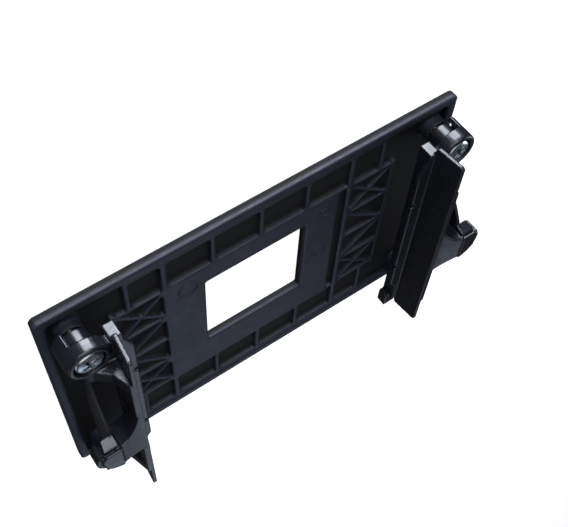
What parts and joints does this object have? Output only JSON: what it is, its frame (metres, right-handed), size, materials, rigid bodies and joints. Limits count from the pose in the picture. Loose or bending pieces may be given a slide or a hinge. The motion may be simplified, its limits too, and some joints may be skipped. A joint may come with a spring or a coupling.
{
  "type": "cpu cooler mounting kit",
  "caption": "Processor cooler mount: ribbed plastic backplate with brass inserts, clip brackets with hook lugs, and cross-recess screws.",
  "frame": {"origin": "centre of the backplate's flat back face", "axes": "+X along the plate's long side, +Y along its short side towards the edge with the taller screw lobes, +Z out of the ribbed face towards the brackets"},
  "size_m": [0.1024, 0.067, 0.0198],
  "materials": {
    "backplate_plastic": "fine moulded grain",
    "bracket_plastic": "satin moulded",
    "insert_brass": "turned",
    "screw_zinc": "bright zinc plated"
  },
  "bodies": {
    "plate": {"backplate": "backplate_plastic", "insert_left_top": "insert_brass", "insert_left_bottom": "insert_brass", "insert_right_top": "insert_brass", "insert_right_bottom": "insert_brass"},
    "left_bracket": {"bracket_left": "bracket_plastic"},
    "right_bracket": {"bracket_right": "bracket_plastic"},
    "screw_body_left_top": {"screw_left_top": "screw_zinc"},
    "screw_body_left_bottom": {"screw_left_bottom": "screw_zinc"},
    "screw_body_right_top": {"screw_right_top": "screw_zinc"},
    "screw_body_right_bottom": {"screw_right_bottom": "screw_zinc"}
  },
  "joints": [
    {"name": "left_bracket_lift", "type": "slide", "parent": "plate", "child": "left_bracket", "axis": [0, 0, 1], "range_m": [0, 0.02]},
    {"name": "right_bracket_lift", "type": "slide", "parent": "plate", "child": "right_bracket", "axis": [0, 0, 1], "range_m": [0, 0.02]},
    {"name": "screw_left_top_turn", "type": "hinge", "parent": "left_bracket", "child": "screw_body_left_top", "pos_m": [-0.045, 0.027, 0.0096], "axis": [0, 0, 1], "continuous": true},
    {"name": "screw_left_bottom_turn", "type": "hinge", "parent": "left_bracket", "child": "screw_body_left_bottom", "pos_m": [-0.045, -0.027, 0.0076], "axis": [0, 0, 1], "continuous": true},
    {"name": "screw_right_top_turn", "type": "hinge", "parent": "right_bracket", "child": "screw_body_right_top", "pos_m": [0.045, 0.027, 0.0096], "axis": [0, 0, 1], "continuous": true},
    {"name": "screw_right_bottom_turn", "type": "hinge", "parent": "right_bracket", "child": "screw_body_right_bottom", "pos_m": [0.045, -0.027, 0.0076], "axis": [0, 0, 1], "continuous": true}
  ]
}
